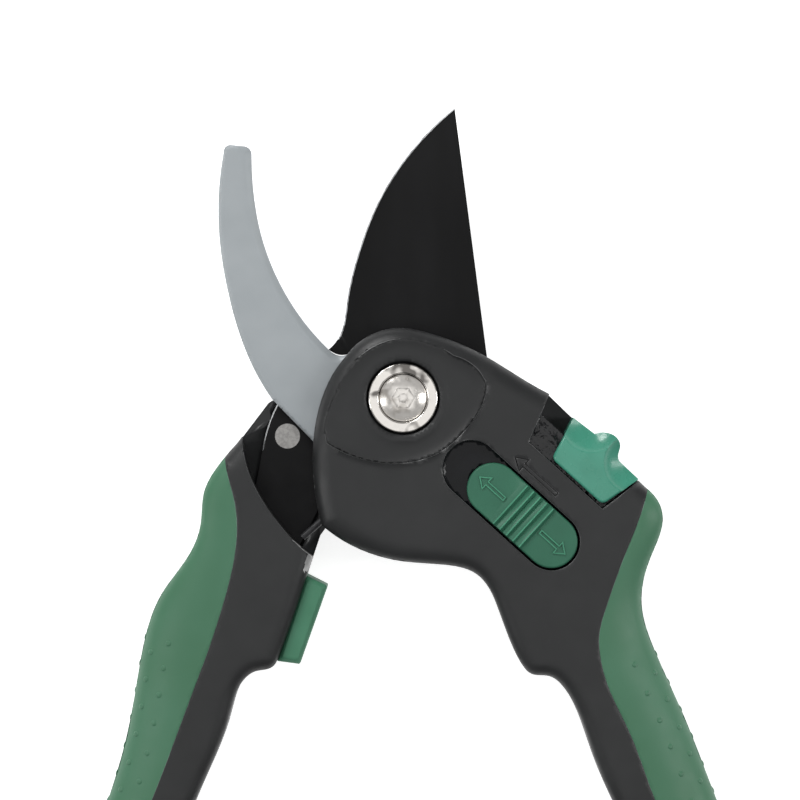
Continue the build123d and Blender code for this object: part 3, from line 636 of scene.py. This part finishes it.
for name in ("right_front_shell", "right_rear_shell", "right_grip",
             "left_front_shell", "left_rear_shell", "left_grip"):
    bm = node_mesh(name)
    refine_plane(bm, TOP, 1, SPACING)
    refine_plane(bm, 0.0, -1, SPACING)
    if name == "right_front_shell":
        refine_plane(bm, FACE_FLOOR, 1, FACE_SPACING)
        refine_plane(bm, RAIL_TOP, 1, RAIL_SPACING)
        refine_plane(bm, SWITCH_FLOOR, 1, SWITCH_SPACING)
        # painted shade: the channel floors take the darker gloss materials
        tint_faces(bm, CHANNEL, lambda face: on_plane(face, SWITCH_FLOOR))
        tint_faces(bm, RAIL, lambda face: on_plane(face, RAIL_TOP))
        # painted highlight: lighter bevels along the recess's rim and, below, along the upright rims
        ease_edges(bm, rim_edges(bm, TOP, in_face_recess), RECESS_BEVEL, EDGE)
    ease_edges(bm, rim_edges(bm, TOP, upright), RIM_BEVEL, EDGE)
    if name.endswith("front_shell"):
        ease_edges(bm, rim_edges(bm, PARTING, on_outline, -1), SEAM_BEVEL, PLAIN)
    if name.endswith("rear_shell"):
        ease_edges(bm, rim_edges(bm, PARTING - SEAM_GAP, on_outline), SEAM_BEVEL, PLAIN)
    if name == "left_front_shell":
        # painted highlight: white on the top of the inner side next to the bumper
        tint_faces(bm, WHITE_HIGHLIGHT, is_white_highlit)
    soften(bm, HANDLES[name.split("_")[0]])
    if name == "right_front_shell":
        sculpt_face_recess(bm)
        sculpt_rail(bm)
    # lighter edge colours on the bevels, painted highlights
    edge = GRIP_EDGE_HIGHLIGHT if name.endswith("grip") else SHELL_EDGE_HIGHLIGHT
    stand_in(name, bm, [MATERIALS[SLOT_OF[name]], SHADED_GLOSS, edge, SHADED_RAIL_GLOSS, PAINTED_WHITE_HIGHLIGHT])


# ---- raised dots of the grips -------------------------------------------

def dome(bm, centre, normal, radius, height):
    """A low round dot that stands on a surface."""
    side = normal.orthogonal().normalized()
    other = normal.cross(side)
    segments = 12
    levels = 4
    turns = [math.tau * k / segments for k in range(segments)]
    spokes = [side * math.cos(turn) + other * math.sin(turn) for turn in turns]
    rings = []
    for step in range(levels):
        angle = math.radians(90 * step / levels)
        middle = centre + normal * height * math.sin(angle)
        rings.append([bm.verts.new(middle + spoke * radius * math.cos(angle)) for spoke in spokes])
    for low, high in zip(rings, rings[1:]):
        for k in range(segments):
            bm.faces.new((low[k], low[(k + 1) % segments], high[(k + 1) % segments], high[k]))
    peak = bm.verts.new(centre + normal * height)
    for k in range(segments):
        bm.faces.new((rings[-1][k], rings[-1][(k + 1) % segments], peak))


DOT_PITCH = 6.0 * MM
SIDE_LEVELS = (TOP * 0.38, TOP * 0.62)
SIDE_DOT = (0.8 * MM, 0.36 * MM)
FACE_DOT = (0.68 * MM, 0.24 * MM)
SIDE_SUNK = 0.08 * MM
FACE_SUNK = 0.05 * MM
# distance of each column from the outline, and its shift along the handle in pitches
COLUMNS = ((5.4 * MM, 0.0), (2.0 * MM, 0.5), (0.0, 0.0))


def side_dots(bm, here, outward):
    for level in SIDE_LEVELS:
        foot = Vector((here.x, here.y, level)) - outward * SIDE_SUNK
        dome(bm, foot, outward, *SIDE_DOT)


def face_dots(bm, handle, place, outward):
    """One dot on the front and one on the back, square to the rounded shoulder."""
    step = 0.1 * MM
    slope = (handle.fall(place + outward * step) - handle.fall(place - outward * step)) / (2 * step)
    normal = (Vector((0, 0, 1)) + outward * slope).normalized()
    for level, up in ((TOP, 1), (0.0, -1)):
        foot = Vector((place.x, place.y, level - up * (handle.fall(place) + FACE_SUNK)))
        dome(bm, foot, Vector((normal.x, normal.y, normal.z * up)), *FACE_DOT)


def grip_dots(name, body, handle, side, first, last):
    """Rows of dots: two columns on the front and back, and two on the outer side."""
    def outer_point(y):
        return max((p for p in handle.points if abs(p.y - y) < 0.4 * MM), key=lambda p: p.x * side)

    bm = bmesh.new()
    reach = 1.5 * MM
    for row in range(int((first - last) / DOT_PITCH)):
        for inset, shift in COLUMNS:
            y = first - (row + shift) * DOT_PITCH
            here = outer_point(y)
            along = (outer_point(y - reach) - outer_point(y + reach)).normalized()
            outward = Vector((-along.y, along.x, 0)) * (1 if -along.y * side > 0 else -1)
            if inset:
                face_dots(bm, handle, here - outward * inset, outward)
            else:
                side_dots(bm, here, outward)
    bmesh.ops.recalc_face_normals(bm, faces=bm.faces)
    mesh = bpy.data.meshes.new(name)
    mesh.materials.append(MATERIALS["grip_green"])
    bm.to_mesh(mesh)
    bm.free()
    mesh.shade_smooth()
    piece = bpy.data.objects.new(name, mesh)
    bpy.context.scene.collection.objects.link(piece)
    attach(piece, body)


grip_dots("right_grip_dots", "right_handle", HANDLES["right"], 1, -56 * MM, -110 * MM)
grip_dots("left_grip_dots", "left_handle", HANDLES["left"], -1, -52 * MM, -110 * MM)


# ---- hook, blade and small parts ----------------------------------------

HOOK_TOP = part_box("hook_blade")[1].z
BLADE_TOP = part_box("cutting_blade")[1].z
SWITCH_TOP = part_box("switch_button")[1].z


HOOK_SPACING = 0.55 * MM
HOOK_BEVEL_DEPTH, HOOK_BEVEL_WIDTH = 0.75 * MM, 1.3 * MM
HOOK_ROUND_DEPTH, HOOK_ROUND_WIDTH = 0.7 * MM, 0.9 * MM
HOOK_TANG_START = -16 * MM
HONED_WIDTH = 0.26 * MM
BLADE_ROOT = 12 * MM
HONED_START = 13.5 * MM
BARE_TANG_SIDE = -26 * MM
BARE_TANG_LOW, BARE_TANG_HIGH = -13 * MM, -0.5 * MM


def hook():
    """Soft outer edge, and a narrow bevel along the inner edge."""
    def faces_blade(edge, wall):
        return wall.normal.x > 0.15

    bm = node_mesh("hook_blade")
    refine_plane(bm, HOOK_TOP, 1, HOOK_SPACING)
    inner = edge_samples(rim_edges(bm, HOOK_TOP, faces_blade))
    outer = edge_samples(rim_edges(bm, HOOK_TOP, lambda edge, wall: not faces_blade(edge, wall)))
    for v in bm.verts:
        if abs(v.co.z - HOOK_TOP) < LEVEL and v.co.y > HOOK_TANG_START:
            bevel = HOOK_BEVEL_DEPTH * max(0.0, 1 - distance_to(inner, v.co) / HOOK_BEVEL_WIDTH)
            rounding = round_off(distance_to(outer, v.co), HOOK_ROUND_WIDTH, HOOK_ROUND_DEPTH)
            v.co.z -= max(bevel, rounding)
    stand_in("hook_blade", bm, [MATERIALS["hook_steel"]], sharp_angle=24, bevel=0.08 * MM)


def blade():
    """Black coating, ground bright along the cutting edge, and bright steel along the tang's outer edge.
    """
    def is_bare(edge, wall):
        place = middle_of(edge)
        on_blade = place.y > HONED_START
        on_tang = place.x < BARE_TANG_SIDE and BARE_TANG_LOW < place.y < BARE_TANG_HIGH
        return wall.normal.x < -0.4 and (on_blade or on_tang)

    def is_ground(face):
        slants_under = face.normal.x < -0.25 and -0.98 < face.normal.z < -0.2
        return slants_under and face.calc_center_median().y > BLADE_ROOT

    bm = node_mesh("cutting_blade")
    ease_edges(bm, rim_edges(bm, BLADE_TOP, is_bare), HONED_WIDTH, 1)
    tint_faces(bm, 1, is_ground)
    stand_in("cutting_blade", bm, [MATERIALS["blade_coated"], HONED], bevel=0.06 * MM)


def switch():
    """The crests of the ribs are painted lighter as a painted highlight, and the tops of the arrows are
    lighter as well.
    """
    bm = node_mesh("switch_button")
    arrow_top = SWITCH_TOP - 0.5 * MM
    tint_faces(bm, 1, lambda face: on_plane(face, SWITCH_TOP) or on_plane(face, arrow_top))
    stand_in("switch_button", bm, [MATERIALS["switch_green"], SWITCH_TOP_HIGHLIGHT], bevel=0.05 * MM)


hook()
blade()
switch()
# the bolt's plating gets milder painted reflections
BOLT_NICKEL = nickel("bolt_nickel", 0.62, (0.52, 0.49, 0.45), 0.03)
# its bevels take the dark socket colour, painted shade along the socket and the grooves
stand_in("pivot_bolt", node_mesh("pivot_bolt"), [BOLT_NICKEL, SOCKET_SHADE_LINE],
         bevel=0.09 * MM, bevel_material=1)
for name, width in (("latch_button", 0.16 * MM), ("bumper", 0.55 * MM)):
    stand_in(name, node_mesh(name), [MATERIALS[SLOT_OF[name]]], sharp_angle=28, bevel=width)


# ---- stage, lights and camera ------------------------------------------

def floor():
    """A plain pale sheet just below the pruner."""
    half = 1.5
    corners = [(-half, -half, 0), (half, -half, 0), (half, half, 0), (-half, half, 0)]
    mesh = bpy.data.meshes.new("floor")
    mesh.from_pydata(corners, [], [(0, 1, 2, 3)])
    obj = bpy.data.objects.new("floor", mesh)
    obj.location.z = -0.2 * MM
    bpy.context.scene.collection.objects.link(obj)
    s = Shader("floor_paint", (0.72, 0.72, 0.72), 0.8)
    s.bsdf.inputs["Emission Color"].default_value = (1, 1, 1, 1)
    s.bsdf.inputs["Emission Strength"].default_value = 0.8
    paint(obj, s.material)


def softbox(name, place, size, power):
    """A rectangular light that points a little below the pivot."""
    aim = Vector((0, -0.01, 0))
    light = bpy.data.lights.new(name, "AREA")
    light.shape = "RECTANGLE"
    light.size, light.size_y = size
    light.energy = power
    obj = bpy.data.objects.new(name, light)
    obj.location = place
    obj.rotation_euler = (aim - Vector(place)).to_track_quat("-Z", "Y").to_euler()
    bpy.context.scene.collection.objects.link(obj)


def camera():
    """Looks straight down from far away, with the field that shows the pruner as large as it should be."""
    data = bpy.data.cameras.new("camera")
    data.lens = 250
    data.sensor_width = 36
    field = 0.176
    subject_height = 14 * MM
    obj = bpy.data.objects.new("camera", data)
    obj.location = (-0.66 * MM, -0.44 * MM, subject_height + field * data.lens / data.sensor_width)
    bpy.context.scene.collection.objects.link(obj)
    bpy.context.scene.camera = obj


def world():
    made = bpy.data.worlds.new("studio")
    made.use_nodes = True
    background = made.node_tree.nodes["Background"]
    background.inputs["Color"].default_value = (1, 1, 1, 1)
    background.inputs["Strength"].default_value = 0.24
    bpy.context.scene.world = made


floor()
softbox("top", (0.0, 0.0, 1.35), (1.0, 1.0), 2.6)
softbox("key", (-0.32, 0.55, 0.5), (0.3, 0.25), 3.2)
softbox("rim", (0.52, 0.0, 0.42), (0.14, 0.5), 1.5)
softbox("fill", (-0.52, -0.1, 0.42), (0.14, 0.5), 1.0)
camera()
world()
bpy.context.scene.view_settings.view_transform = "Standard"
